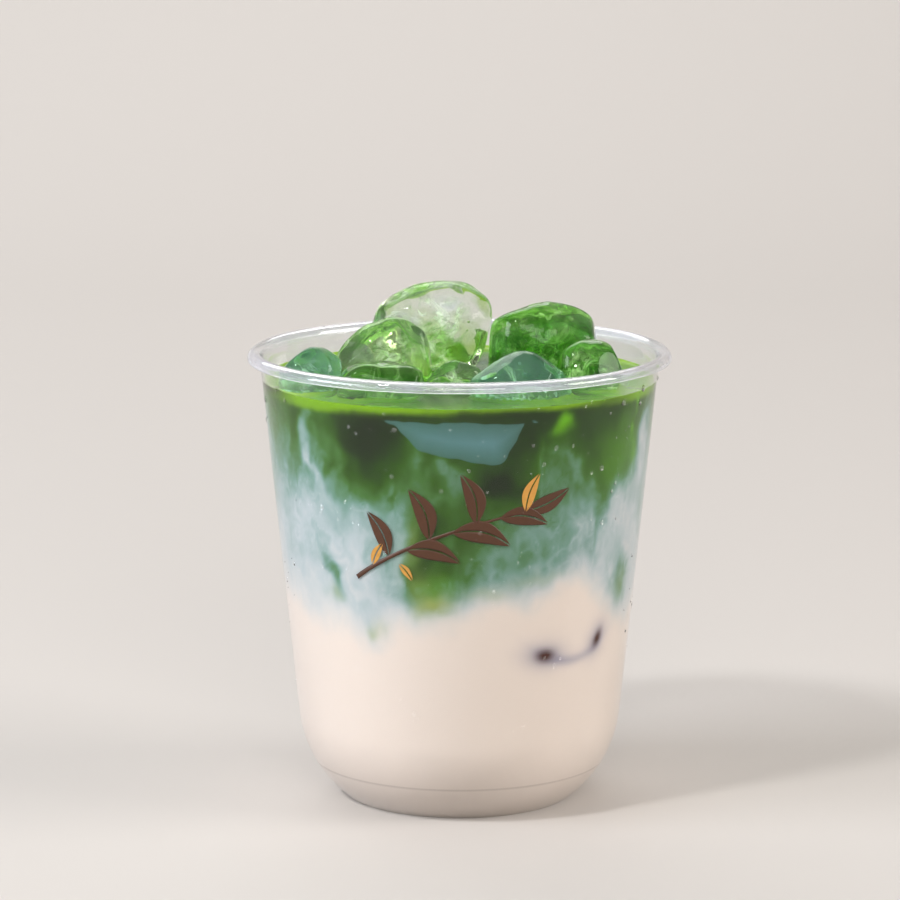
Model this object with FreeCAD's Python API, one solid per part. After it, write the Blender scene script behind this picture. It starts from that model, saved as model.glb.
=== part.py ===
"""Iced matcha latte in a clear thermoformed cup: FreeCAD source, millimetres, +Z up.

The cup stands on Z = 0 with its axis on Z. Its shown side faces -Y.
It is one turned shell with a domed underside, a round shoulder, a drafted wall and a curled lip.
Milk fills the lower part and matcha floats on it, and both touch the wall. The lumps of ice
float in the matcha, which is cut round each of them.
"""

import FreeCAD
import Part

import math
import os

from FreeCAD import Rotation, Vector

# ---- cup: overall sizes ----
rimDiameter = 98.0        # over the curled lip
cupHeight = 105.0
wallThickness = 0.6
wallDraft = 5.9           # degrees that the wall leans out

# ---- cup: foot and shoulder ----
standRadius = 25.5        # outer edge of the flat ring that the cup stands on
domeRadius = 21.5         # edge of the domed underside
domeRise = 2.4
footRound = 2.0           # outer radius between the flat ring and the shoulder
shoulderRound = 28.0      # outer radius of the round shoulder
ringHeight = 8.7          # mould line round the shoulder
ringWidth = 0.5
ringDepth = 0.15

# ---- cup: lip ----
lipRound = 1.4            # middle radius of the curl
lipHeight = 2.3           # top of the rim to the lower end of the curl

# ---- drink ----
freeAbove = 7.1           # top of the rim down to the drink's surface
creepRise = 0.7           # the drink creeps this far up the wall
creepWidth = 2.2
milkLevel = 53.0          # middle height of the face between milk and matcha
milkWaves = [             # height, turns round the axis, where the crest lies in degrees
    (3.2, 2, 150.0),
    (2.3, 3, 20.0),
    (1.2, 5, 75.0),
]
waveGrid = 15             # points each way that carry the wavy face

# ---- ice ----
# name: (centre x, y), (top, bottom), (length, width), turn about Z, lean about X, lean about Y, squareness
iceLumps = {
    "ice_back_left": ((-6.3, 15.4), (118.2, 94.0), (29.6, 20.6), 5.0, 0.0, -8.0, 2.35),
    "ice_back_right": ((19.0, 3.6), (115.9, 92.8), (28.6, 17.4), 9.0, 4.0, 7.0, 2.6),
    "ice_mid_left": ((-17.0, -3.8), (112.4, 91.0), (25.6, 13.6), 8.0, -5.0, -17.0, 2.3),
    "ice_left": ((-33.6, -15.2), (107.9, 91.8), (15.4, 12.8), 62.0, 0.0, 14.0, 2.4),
    "ice_front_left": ((-16.6, -23.4), (105.9, 91.8), (20.8, 14.6), -3.0, -3.0, 2.0, 3.3),
    "ice_middle": ((-1.2, -14.0), (105.2, 91.0), (13.2, 11.0), 24.0, 5.0, 0.0, 2.6),
    "ice_front_right": ((14.4, -24.0), (108.0, 90.6), (24.2, 14.8), 5.0, -4.0, 8.0, 2.2),
    "ice_right": ((29.6, -11.4), (108.9, 92.0), (16.6, 12.8), -22.0, 0.0, 8.0, 2.4),
    "ice_rear_left": ((-6.4, 34.0), (104.0, 91.0), (21.6, 12.6), 8.0, 4.0, 3.0, 2.7),
    "ice_rear_right": ((22.6, 28.0), (103.6, 91.2), (17.6, 13.6), -34.0, -4.0, 0.0, 2.5),
}
iceUnevenness = 0.035     # how far a melted face swells or sinks, as a share of the lump
iceRound = 20             # poles round a lump
iceRows = 11              # poles from its foot to its crown

drinkLevel = cupHeight - freeAbove


def turned(face):
    """The solid that a face in the XZ plane sweeps about Z."""
    return face.revolve(Vector(0, 0, 0), Vector(0, 0, 1), 360)


def point(radius, height):
    """A point of the turned section."""
    return Vector(radius, 0, height)


def arcThrough(centre, radius, start, end):
    """The arc of the section from one angle to another, in degrees from +X towards +Z."""
    places = [
        Vector(
            centre.x + radius * math.cos(math.radians(angle)),
            0,
            centre.z + radius * math.sin(math.radians(angle)),
        )
        for angle in (start, (start + end) / 2, end)
    ]
    return Part.Arc(*places).toShape()


def wallLine():
    """Top point and upward direction of the wall's outer face, under the curl."""
    lean = math.radians(90 - wallDraft)
    middleRadius = rimDiameter / 2 - wallThickness / 2 - lipRound * (1 + math.sin(lean))
    topHeight = cupHeight - wallThickness / 2 - lipRound * (1 - math.cos(lean))
    outer = point(
        middleRadius + math.sin(lean) * wallThickness / 2,
        topHeight - math.cos(lean) * wallThickness / 2,
    )
    return outer, point(math.cos(lean), math.sin(lean))


def shoulderCentre():
    """Centre of the shoulder arc, which touches the wall and the foot's small arc."""
    top, along = wallLine()
    inward = Vector(-along.z, 0, along.x)
    footCentre = point(standRadius, footRound)
    reach = shoulderRound - footRound
    start = top + inward * shoulderRound - footCentre
    # |start + travel * along| = reach, and the higher of the two places is the shoulder's
    half = start.dot(along)
    travel = -half + math.sqrt(half**2 - start.dot(start) + reach**2)
    return footCentre + start + along * travel


def insetLine(inset):
    """The shell's section from the axis to the top of the wall, moved in from the outer face."""
    domeBall = (domeRadius**2 + domeRise**2) / (2 * domeRise)
    domeCentre = point(0, domeRise - domeBall)
    ball = domeBall + inset
    domeEnd = point(math.sqrt(ball**2 - (inset - domeCentre.z) ** 2), inset)
    crown = point(0, domeCentre.z + ball)
    halfway = math.atan2(domeEnd.z - domeCentre.z, domeEnd.x) / 2 + math.pi / 4
    domeMiddle = domeCentre + point(ball * math.cos(halfway), ball * math.sin(halfway))

    footCentre = point(standRadius, footRound)
    shoulder = shoulderCentre()
    meeting = math.degrees(math.atan2(footCentre.z - shoulder.z, footCentre.x - shoulder.x))
    foot = arcThrough(footCentre, footRound - inset, -90, meeting)
    side = arcThrough(shoulder, shoulderRound - inset, meeting, -wallDraft)

    top, along = wallLine()
    wallTop = top + Vector(-along.z, 0, along.x) * inset
    return [
        Part.Arc(crown, domeMiddle, domeEnd).toShape(),
        Part.makeLine(domeEnd, foot.Vertexes[0].Point),
        foot,
        side,
        Part.makeLine(side.Vertexes[-1].Point, wallTop),
    ]


def curlLine(outside):
    """One face of the curled lip, from the wall's top to the curl's lower end."""
    top, along = wallLine()
    curlCentre = top + Vector(along.z, 0, -along.x) * (lipRound - wallThickness / 2)
    radius = lipRound + (wallThickness / 2 if outside else -wallThickness / 2)
    arc = arcThrough(curlCentre, radius, 180 - wallDraft, 0)
    end = point(curlCentre.x + radius, cupHeight - lipHeight + wallThickness / 2)
    return [arc, Part.makeLine(arc.Vertexes[-1].Point, end)], end


def mouldLine():
    """The fine groove round the shoulder, as a turned solid."""
    shoulder = shoulderCentre()
    fall = ringHeight - shoulder.z
    radius = shoulder.x + math.sqrt(shoulderRound**2 - fall**2)
    outward = point(radius - shoulder.x, fall).normalize()
    along = Vector(-outward.z, 0, outward.x)
    middle = point(radius, ringHeight)
    corners = [
        middle - outward * ringDepth,
        middle + outward * ringDepth + along * ringWidth,
        middle + outward * ringDepth - along * ringWidth,
    ]
    return turned(Part.Face(Part.makePolygon(corners + corners[:1])))


def makeCup():
    """The clear cup: underside, shoulder, wall and curled lip in one shell."""
    outer = insetLine(0)
    inner = insetLine(wallThickness)
    under, underEnd = curlLine(outside=False)
    over, overEnd = curlLine(outside=True)
    tip = point((underEnd.x + overEnd.x) / 2, cupHeight - lipHeight)
    edges = outer + under + [Part.Arc(underEnd, tip, overEnd).toShape()] + over + inner
    edges.append(Part.makeLine(inner[0].Vertexes[0].Point, outer[0].Vertexes[0].Point))
    section = Part.Face(Part.Wire(Part.__sortEdges__(edges)))
    return turned(section).cut(mouldLine())


def wallRadiusInside(height):
    """Radius of the straight wall's inner face at a height."""
    top, along = wallLine()
    start = top + Vector(-along.z, 0, along.x) * wallThickness
    return start.x + (height - start.z) * along.x / along.z


def makeDrink():
    """Everything liquid in the cup, up to its level, with the rim where it creeps up the wall."""
    lines = insetLine(wallThickness)
    contact = point(wallRadiusInside(drinkLevel + creepRise), drinkLevel + creepRise)
    creepStart = contact.x - creepWidth
    creepBall = (creepWidth**2 + creepRise**2) / (2 * creepRise)
    half = math.asin(creepWidth / creepBall) / 2
    creepMiddle = point(
        creepStart + creepBall * math.sin(half),
        drinkLevel + creepBall * (1 - math.cos(half)),
    )
    edges = lines[:-1]
    edges.append(Part.makeLine(lines[-1].Vertexes[0].Point, contact))
    edges.append(Part.Arc(contact, creepMiddle, point(creepStart, drinkLevel)).toShape())
    edges.append(Part.makeLine(point(creepStart, drinkLevel), point(0, drinkLevel)))
    edges.append(Part.makeLine(point(0, drinkLevel), lines[0].Vertexes[0].Point))
    return turned(Part.Face(Part.Wire(Part.__sortEdges__(edges))))


def milkHeight(x, y):
    """Height of the face between milk and matcha: flat in the middle, wavy towards the wall."""
    radius = math.hypot(x, y)
    turn = math.atan2(y, x)
    swell = sum(
        height * math.cos(turns * (turn - math.radians(crest)))
        for height, turns, crest in milkWaves
    )
    return milkLevel + swell * min(1.0, (2 * radius / rimDiameter) ** 2)


def belowMilkLine():
    """A block whose top is the wavy face between milk and matcha."""
    half = rimDiameter / 2
    steps = [half * (2 * i / (waveGrid - 1) - 1) for i in range(waveGrid)]
    surface = Part.BSplineSurface()
    surface.interpolate([[Vector(x, y, milkHeight(x, y)) for y in steps] for x in steps])
    return surface.toShape().extrude(Vector(0, 0, -cupHeight))


def meltedSurface(length, width, height, squareness, seed):
    """A rounded cube as one smooth surface: a superellipsoid whose faces swell and sink a little."""
    rows = []
    for row in range(iceRows):
        rise = math.pi * (row / (iceRows - 1) - 0.5)
        ends = row in (0, iceRows - 1)
        flat = row in (1, iceRows - 2)
        ring = []
        for step in range(iceRound):
            turn = 2 * math.pi * step / iceRound
            way = Vector(
                math.cos(rise) * math.cos(turn),
                math.cos(rise) * math.sin(turn),
                math.sin(rise),
            )
            size = sum(abs(part) ** squareness for part in way) ** (-1 / squareness)
            swell = 1 + iceUnevenness * (
                math.sin(2 * turn + seed) * math.cos(rise)
                + math.sin(3 * turn - 2 * seed) * math.cos(rise) ** 2
                + math.sin(2 * rise + seed)
            )
            place = way * size * swell
            if ends or flat:
                place.z = math.copysign(1.0, rise)
            if ends:
                place.x = place.y = 0.0
            ring.append(Vector(place.x * length / 2, place.y * width / 2, place.z * height / 2))
        rows.append(ring)
    poles = [[rows[row][step] for row in range(iceRows)] for step in range(iceRound)]
    surface = Part.BSplineSurface()
    surface.buildFromPolesMultsKnots(
        poles,
        [1] * (iceRound + 1),
        [4] + [1] * (iceRows - 4) + [4],
        list(range(iceRound + 1)),
        list(range(iceRows - 2)),
        True,
        False,
        3,
        3,
    )
    return surface


def makeIce(name):
    """One melted lump of ice, turned, leaned and set between its top and bottom heights."""
    (x, y), (top, bottom), (length, width), turn, leanX, leanY, squareness = iceLumps[name]
    seed = 1.7 * list(iceLumps).index(name)
    surface = meltedSurface(length, width, top - bottom, squareness, seed)
    low, high, foot, crown = surface.bounds()
    quarter = (high - low) / 4
    faces = [
        surface.toShape(low + i * quarter, low + (i + 1) * quarter, foot, crown) for i in range(4)
    ]
    shell = Part.Shell(faces)
    shell.sewShape()
    lump = Part.Solid(shell)
    if lump.Volume < 0:
        lump.reverse()
    spin = (
        Rotation(Vector(0, 0, 1), turn)
        * Rotation(Vector(0, 1, 0), leanY)
        * Rotation(Vector(1, 0, 0), leanX)
    )
    lump.Placement = FreeCAD.Placement(Vector(x, y, (top + bottom) / 2), spin)
    return lump


def onlySolid(shape):
    """The one solid of a shape that a cut may have wrapped in a compound."""
    return max(shape.Solids, key=lambda solid: solid.Volume)


def main():
    os.makedirs("parts", exist_ok=True)
    ice = {name: makeIce(name) for name in iceLumps}
    drink = makeDrink()
    below = belowMilkLine()
    parts = {
        "cup": makeCup(),
        "milk": drink.common(below),
        "matcha": drink.cut(below).cut(list(ice.values())),
        **ice,
    }
    for name, shape in parts.items():
        onlySolid(shape).exportStep(os.path.join("parts", name + ".step"))
        print(name, shape.isValid(), len(shape.Solids), round(shape.Volume, 1), shape.BoundBox)


main()
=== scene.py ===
import math

import bmesh
import bpy
import numpy as np
from mathutils import Euler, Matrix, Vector


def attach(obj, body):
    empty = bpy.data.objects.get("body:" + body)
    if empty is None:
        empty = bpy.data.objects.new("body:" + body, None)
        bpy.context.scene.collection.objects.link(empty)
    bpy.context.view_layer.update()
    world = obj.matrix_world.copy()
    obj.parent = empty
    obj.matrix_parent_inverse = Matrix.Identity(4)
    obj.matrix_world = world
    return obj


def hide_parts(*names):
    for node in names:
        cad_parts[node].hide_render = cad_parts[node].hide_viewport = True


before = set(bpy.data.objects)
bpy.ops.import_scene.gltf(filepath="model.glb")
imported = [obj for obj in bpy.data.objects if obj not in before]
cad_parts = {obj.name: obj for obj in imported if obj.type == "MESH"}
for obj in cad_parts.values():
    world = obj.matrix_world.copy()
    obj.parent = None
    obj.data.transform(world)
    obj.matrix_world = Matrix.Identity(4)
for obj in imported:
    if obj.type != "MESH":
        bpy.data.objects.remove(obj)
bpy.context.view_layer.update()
print("frame loaded:", len(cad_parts), "nodes")

mm = 0.001

# the cup's section, in mm, as the CAD has it
cupForm = {
    "rim": 98.0,
    "height": 105.0,
    "wall": 0.6,
    "draft": 5.9,         # degrees
    "stand": 25.5,
    "dome": 21.5,
    "domeRise": 2.4,
    "footRound": 2.0,
    "shoulderRound": 28.0,
    "lipRound": 1.4,
    "mouldLine": 8.7,     # height of the moulded ring round the foot
}

drinkForm = {
    "level": 97.9,
    "creep": 0.7,         # how far it climbs the wall
    "milkLevel": 53.0,
    "waves": [(3.2, 2, 150.0), (2.3, 3, 20.0), (1.2, 5, 75.0)],  # mm, turns, crest in degrees
    "inWall": 0.3,        # the drink's side lies this deep in the 0.6 mm wall
    "wallMean": 44.0,     # radius for turning degrees round the wall into mm
    "columns": 480,
    "hollowSteps": 22,    # quads along each side of the hollow round a lump
}


# small helpers

# sRGB hex to linear: v/12.92 when dark, else ((v + 0.055) / 1.055) to the power 2.4.
def toLinear(hexText):
    parts = [int(hexText[i:i + 2], 16) / 255 for i in (1, 3, 5)]
    return tuple(v / 12.92 if v <= 0.04045 else ((v + 0.055) / 1.055) ** 2.4 for v in parts) + (1.0,)


# Adds a node; a link's value is either a constant or an output socket.
def addNode(tree, kind, settings=None, links=None):
    made = tree.nodes.new(kind)
    for key, value in (settings or {}).items():
        setattr(made, key, value)
    for key, value in (links or {}).items():
        socket = made.inputs[key]
        if isinstance(value, bpy.types.NodeSocket):
            tree.links.new(value, socket)
        else:
            socket.default_value = value
    return made


def newMaterial(name):
    material = bpy.data.materials.new(name)
    material.use_nodes = True
    tree = material.node_tree
    tree.nodes.clear()
    return material, tree, addNode(tree, "ShaderNodeOutputMaterial")


# One colour laid over another by a factor; gives the socket of the mixed colour.
def layOver(tree, factor, under, over):
    links = {"Factor": factor, 6: under, 7: over}
    return addNode(tree, "ShaderNodeMix", {"data_type": "RGBA"}, links).outputs[2]


# Ends a clear material: lamp light goes straight through it, tinted, and everything else meets its surface.
def passLampLight(tree, output, surface, hexText):
    seeThrough = addNode(tree, "ShaderNodeBsdfTransparent", links={"Color": toLinear(hexText)})
    path = addNode(tree, "ShaderNodeLightPath")
    mix = addNode(tree, "ShaderNodeMixShader", links={
        0: path.outputs["Is Shadow Ray"], 1: surface.outputs[0], 2: seeThrough.outputs[0],
    })
    tree.links.new(mix.outputs[0], output.inputs["Surface"])


# Fills a colour ramp from (place, hex) pairs.
def paintRamp(ramp, stops):
    while len(ramp.elements) < len(stops):
        ramp.elements.new(0.5)
    for element, (place, colour) in zip(ramp.elements, stops):
        element.position = place
        element.color = toLinear(colour)


# Quads of a grid of rows by columns; around closes each row on itself.
def gridFaces(rows, columns, around, flip=False, start=0):
    i, j = np.meshgrid(np.arange(rows - 1), np.arange(columns if around else columns - 1), indexing="ij")
    k = (j + 1) % columns
    quads = np.stack([i * columns + j, i * columns + k, (i + 1) * columns + k, (i + 1) * columns + j], -1)
    quads = quads.reshape(-1, 4) + start
    return quads[:, ::-1] if flip else quads


# Changes a mesh in place by a function of its bmesh.
def editMesh(mesh, change):
    work = bmesh.new()
    work.from_mesh(mesh)
    change(work)
    work.to_mesh(mesh)
    work.free()


# Makes a mesh object from points in mm. values are float attributes, one number for each point.
def addPiece(name, points, faces, materials, values=None, faceMaterial=None, weld=True):
    mesh = bpy.data.meshes.new(name)
    mesh.from_pydata((np.asarray(points) * mm).tolist(), [], [list(map(int, f)) for f in faces])
    for key, value in (values or {}).items():
        layer = mesh.attributes.new(key, "FLOAT", "POINT")
        layer.data.foreach_set("value", np.asarray(value, dtype=np.float32).ravel())
    for material in materials:
        mesh.materials.append(material)
    if faceMaterial is not None:
        mesh.polygons.foreach_set("material_index", np.asarray(faceMaterial, dtype=np.int32))
    mesh.polygons.foreach_set("use_smooth", np.ones(len(mesh.polygons), dtype=bool))
    if weld:
        editMesh(mesh, lambda work: bmesh.ops.remove_doubles(work, verts=work.verts, dist=1e-6))
    mesh.set_sharp_from_angle(angle=math.radians(50))
    mesh.update()
    piece = bpy.data.objects.new(name, mesh)
    bpy.context.scene.collection.objects.link(piece)
    return piece


def smoothStep(value, low, high):
    t = np.clip((value - low) / (high - low), 0, 1)
    return t * t * (3 - 2 * t)


# One fixed random number from 0 to 1 for each whole-number place.
def latticeValue(i, j, k, seed):
    n = (i * 73856093) ^ (j * 19349663) ^ (k * 83492791) ^ (seed * 668265263)
    n = (n ^ (n >> 13)) & 0xFFFFFFFF
    n = (n * 1274126177) & 0xFFFFFFFF
    n = n ^ (n >> 16)
    return (n & 0xFFFFFF) / 0xFFFFFF


# Value noise: lattice numbers blended by a smooth step along each axis. From -1 to 1.
def softNoise(places, seed):
    base = np.floor(places).astype(np.int64)
    f = places - base
    f = f * f * f * (f * (f * 6 - 15) + 10)
    total = 0
    for corner in range(8):
        d = np.array([corner & 1, corner >> 1 & 1, corner >> 2 & 1])
        weight = np.prod(np.where(d == 1, f, 1 - f), axis=-1)
        total = total + weight * latticeValue(*np.moveaxis(base + d, -1, 0), seed)
    return total * 2 - 1


# Layers of soft noise, each twice as fine and fade times as strong as the one before.
def cloud(places, seed, octaves=4, fade=0.5):
    total, weight, size = 0, 0, 1.0
    for step in range(octaves):
        total = total + size * softNoise(places * 2**step + 17.3 * step, seed + step)
        weight += size
        size *= fade
    return total / weight * 1.6


# the cup's section

def shoulderCentre():
    f = cupForm
    lean = math.radians(90 - f["draft"])
    along = np.array([math.cos(lean), math.sin(lean)])
    inward = np.array([-along[1], along[0]])
    middle = np.array([
        f["rim"] / 2 - f["wall"] / 2 - f["lipRound"] * (1 + along[1]),
        f["height"] - f["wall"] / 2 - f["lipRound"] * (1 - along[0]),
    ])
    top = middle - inward * f["wall"] / 2
    start = top + inward * f["shoulderRound"] - np.array([f["stand"], f["footRound"]])
    half = start @ along
    reach = f["shoulderRound"] - f["footRound"]
    travel = -half + math.sqrt(half**2 - start @ start + reach**2)
    return top + inward * f["shoulderRound"] + along * travel, top, along, inward


# Points (radius, height) from the middle of the underside to the top of the wall, a fixed inset inside the
# cup's outer face: a dome, a flat ring, a small arc, the shoulder arc and a straight wall.
def wallProfile(inset, spacing=0.3):
    f = cupForm
    centre, top, along, inward = shoulderCentre()
    ball = (f["dome"] ** 2 + f["domeRise"] ** 2) / (2 * f["domeRise"])
    ballZ = f["domeRise"] - ball
    edge = math.asin(min(1, (inset - ballZ) / (ball + inset)))
    turn = np.linspace(math.pi / 2, edge, 90)
    dome = np.stack([np.cos(turn), np.sin(turn)], -1) * (ball + inset) + [0, ballZ]
    foot = np.array([f["stand"], f["footRound"]])
    meeting = math.atan2(foot[1] - centre[1], foot[0] - centre[0])
    turn = np.linspace(-math.pi / 2, meeting, 12)
    small = np.stack([np.cos(turn), np.sin(turn)], -1) * (f["footRound"] - inset) + foot
    turn = np.linspace(meeting, -math.radians(f["draft"]), 100)
    shoulder = np.stack([np.cos(turn), np.sin(turn)], -1) * (f["shoulderRound"] - inset) + centre
    line = np.concatenate([dome, small, shoulder[1:], [top + inward * inset]])
    length = np.concatenate([[0], np.cumsum(np.linalg.norm(np.diff(line, axis=0), axis=1))])
    even = np.linspace(0, length[-1], int(length[-1] / spacing))
    return np.interp(even, length, line[:, 0]), np.interp(even, length, line[:, 1]), even


# Radius of the straight wall at a height.
def wallRadius(height, inset=0.0):
    _, top, along, inward = shoulderCentre()
    start = top + inward * inset
    return start[0] + (height - start[1]) * along[0] / along[1]


# Points at an angle from the front, -Y, turning towards +X.
def onCircle(angle, radius, height):
    level = height * np.ones_like(radius * angle)
    return np.stack([radius * np.sin(angle), -radius * np.cos(angle), level], -1)


# how milk and matcha mix at the wall

# where plain milk begins: degrees from the front, height in mm
milkLine = [
    (-110, 50), (-85, 52), (-70, 53), (-56, 48.5), (-42, 49), (-30, 45.5), (-21, 50), (-12, 49.5),
    (-3, 50.5), (5, 52.5), (14, 54.5), (24, 54), (31, 55.5), (43, 57), (52, 54), (62, 47), (74, 45),
    (90, 51), (110, 55), (130, 50), (150, 53), (170, 48), (190, 50), (210, 55), (230, 52),
]

# soft patches laid over one another: degrees from the front, height, half width, half height in mm, tilt in
# degrees to the left, share of milk from 0 deep green to 1 plain milk, strength
patches = [
    # left: teal at the edge, grey-blue lower down, a loop of milk round a green pocket
    (-80, 86, 6.0, 12.0, 0, 0.62, 0.9), (-65, 86, 7.0, 10.0, 0, 0.47, 0.9),
    (-60, 77, 5.0, 4.0, 20, 0.52, 0.7), (-73, 66, 7.0, 9.0, 0, 0.84, 0.8),
    (-55, 68, 8.0, 7.0, 0, 0.79, 0.8), (-50, 62, 9.0, 6.0, 0, 0.80, 0.6),
    (-44, 88.5, 4.0, 6.5, 0, 0.30, 0.95), (-50.5, 91, 1.7, 5.5, 3, 0.62, 0.85),
    (-50.2, 84.5, 1.7, 3.8, 27, 0.74, 0.9), (-45.0, 80.4, 1.9, 3.4, 56, 0.74, 0.9),
    (-41.5, 76.5, 3.6, 3.2, 0, 0.76, 0.8), (-36.2, 87.2, 1.3, 2.8, 38, 0.46, 0.8),
    (-36.2, 83.6, 1.5, 2.8, -33, 0.64, 0.9), (-39.6, 80.0, 1.7, 2.6, -45, 0.72, 0.85),
    (-34, 77.5, 2.6, 3.0, 0, 0.60, 0.7), (-43.5, 84.5, 2.4, 2.6, 0, 0.42, 0.8),
    # deep green beside it, down to the first veils
    (-26.5, 90, 6.4, 9.5, 0, 0.00, 1.0), (-24.5, 82.5, 5.0, 4.4, 0, 0.06, 0.95),
    (-31, 79.2, 2.6, 1.8, 0, 0.38, 0.6), (-23, 74.6, 7.5, 2.4, 0, 0.62, 0.8),
    (-28, 68, 6.0, 6.0, 0, 0.76, 0.7),
    # thin smoke under the ice face
    (-8, 84.5, 8.5, 7.0, 0, 0.20, 0.95), (-15.4, 86.5, 1.3, 4.6, 8, 0.38, 0.85),
    (-13.2, 81, 2.0, 2.6, 30, 0.40, 0.7), (-5.4, 86, 1.2, 4.0, 30, 0.42, 0.85),
    (-2.4, 81.5, 1.9, 3.2, 22, 0.58, 0.9), (1.0, 78.2, 1.3, 2.6, 52, 0.54, 0.85),
    (-8, 77.4, 7.5, 1.9, 0, 0.50, 0.8), (-16.5, 78.4, 2.4, 2.4, 0, 0.44, 0.6),
    (-10.5, 83.6, 1.0, 2.4, -24, 0.34, 0.7),
    # deep green right of it
    (10.5, 81.0, 7.4, 6.0, 0, 0.00, 1.0), (21, 90, 4.6, 7.0, 0, 0.02, 0.95),
    (19.5, 82, 3.0, 5.0, 10, 0.08, 0.9), (7, 76.2, 6.0, 2.2, 0, 0.22, 0.8),
    # the broad tongue of green that hangs lowest
    (-7, 70, 8.0, 6.6, 0, 0.12, 0.97), (-8, 61.5, 7.4, 6.4, 0, 0.10, 0.97),
    (-9, 55.5, 5.4, 3.2, 0, 0.34, 0.85), (-15.6, 66, 1.2, 6.0, 0, 0.30, 0.6),
    (-20.0, 64, 2.2, 8.0, 0, 0.74, 0.85), (-4.6, 66.5, 1.1, 5.0, -14, 0.30, 0.6),
    (3.6, 70.0, 3.0, 4.4, 0, 0.26, 0.8), (2.4, 60, 2.6, 5.0, 0, 0.36, 0.8),
    # grey-green right of the middle
    (14, 64.5, 6.4, 6.4, 0, 0.46, 0.9), (25, 64.5, 8.0, 6.0, 0, 0.52, 0.9),
    (13, 72.2, 5.0, 2.4, 0, 0.38, 0.7), (9.6, 60.5, 1.2, 3.4, 26, 0.60, 0.7),
    (20, 59.0, 7.0, 2.2, 0, 0.62, 0.7), (31, 70.4, 5.0, 3.4, 0, 0.56, 0.8),
    # the arch of milk and the teal inside it
    (31, 79.6, 5.8, 7.2, 10, 0.46, 0.95), (23.8, 84.5, 0.9, 5.4, 0, 0.42, 0.8),
    (31.0, 86.6, 3.6, 1.1, -22, 0.42, 0.8), (37.2, 83.0, 1.3, 3.8, 44, 0.64, 0.9),
    (42.0, 78.0, 1.4, 4.4, 32, 0.72, 0.9), (45.2, 71.5, 1.6, 4.8, 14, 0.75, 0.9),
    (46.0, 64.5, 1.9, 4.6, 0, 0.72, 0.8), (40, 70, 3.6, 5.6, 0, 0.66, 0.8),
    (38, 77, 2.2, 3.4, 30, 0.54, 0.6),
    # green outside the arch, drawn down to a point, and the pale edge
    (49.6, 88, 8.4, 8.0, 0, 0.08, 1.0), (58.5, 87, 3.4, 8.4, 0, 0.20, 0.9),
    (49.2, 77, 2.8, 5.4, 8, 0.26, 0.9), (49.0, 70.6, 1.6, 3.2, 0, 0.50, 0.7),
    (57.5, 70.5, 4.4, 7.0, 0, 0.80, 0.85), (68, 66, 5.0, 12.0, 0, 0.84, 0.9),
    (72, 83, 4.4, 12.0, 0, 0.80, 0.95), (81, 80, 4.0, 12.0, 0, 0.66, 0.8), (56, 60, 4.0, 3.6, 0, 0.80, 0.6),
    # lens shapes low at both sides
    (63, 54.6, 3.2, 5.6, 8, 0.52, 1.0), (66.6, 60.6, 3.0, 0.9, -30, 0.88, 0.6),
    (-45, 57.2, 1.7, 3.8, 6, 0.46, 0.95), (-44.6, 52.6, 1.8, 1.6, 0, 0.66, 0.7),
    (-29.2, 47.8, 2.0, 1.4, 0, 0.78, 0.6),
    # the back, mixed in the same way
    (104, 84, 9.0, 10.0, 0, 0.06, 1.0), (96, 78, 1.6, 8.0, 10, 0.66, 0.8),
    (112, 70, 4.0, 7.0, 8, 0.30, 0.9), (124, 80, 2.0, 9.0, -14, 0.60, 0.85),
    (134, 86, 6.0, 8.0, 0, 0.10, 0.95), (140, 74, 7.0, 3.0, 0, 0.58, 0.8),
    (150, 80, 1.6, 7.0, -24, 0.52, 0.85), (160, 82, 7.0, 9.0, 0, 0.04, 1.0),
    (168, 66, 7.0, 8.0, 0, 0.14, 0.95), (180, 76, 3.0, 5.0, 30, 0.50, 0.8),
    (190, 86, 7.0, 8.0, 0, 0.12, 0.95), (198, 74, 2.0, 8.0, 20, 0.64, 0.85),
    (208, 84, 6.0, 7.0, 0, 0.34, 0.9), (216, 70, 5.0, 6.0, 0, 0.44, 0.85),
    (226, 86, 6.6, 8.0, 0, 0.02, 1.0), (236, 72, 2.4, 7.0, -10, 0.68, 0.85),
    (246, 84, 5.0, 9.0, 0, 0.22, 0.95), (256, 72, 4.0, 6.0, 0, 0.46, 0.8),
]

# places where light comes through green: degrees, height, half width, half height, strength
glows = [
    (30.6, 95.2, 1.9, 2.6, 1.0), (29.4, 91.8, 1.5, 1.8, 0.5), (61.5, 95.4, 0.7, 1.8, 0.9),
    (61.0, 90.2, 0.6, 1.4, 0.5), (52, 86, 7.0, 7.0, 0.32), (62, 85, 2.0, 5.0, 0.4),
    (-6.6, 56.5, 3.4, 3.0, 0.25), (20, 84, 3.0, 6.0, 0.10), (140, 92, 2.0, 3.0, 0.8),
    (206, 91, 2.4, 3.0, 0.6), (236, 84, 6.0, 6.0, 0.26), (110, 86, 6.0, 6.0, 0.22),
]

# olive where a little matcha reaches the milk: degrees, height, half width, half height, strength
olives = [
    (-8, 52.4, 4.6, 2.4, 0.95), (-11, 57.5, 3.4, 3.0, 0.30), (-29, 47.4, 2.2, 1.3, 0.45),
    (-44.6, 52.2, 2.0, 1.4, 0.35), (64, 53.0, 3.2, 4.2, 0.28), (8, 54.8, 6.0, 1.8, 0.30),
    (-16, 66, 2.4, 7.0, 0.30), (24, 57.6, 8.0, 1.6, 0.22), (118, 58, 4.0, 2.6, 0.5),
    (168, 57, 5.0, 3.0, 0.7), (214, 60, 4.0, 2.6, 0.4),
]

# painted shade where sunk ice shows dark through the milk: degrees, height, half width, half height, tilt
sunkIceShade = [(29.4, 40.3, 2.6, 1.4, -6), (52.4, 42.2, 1.4, 2.1, -42), (176.0, 44.0, 2.4, 1.2, 12)]

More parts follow.
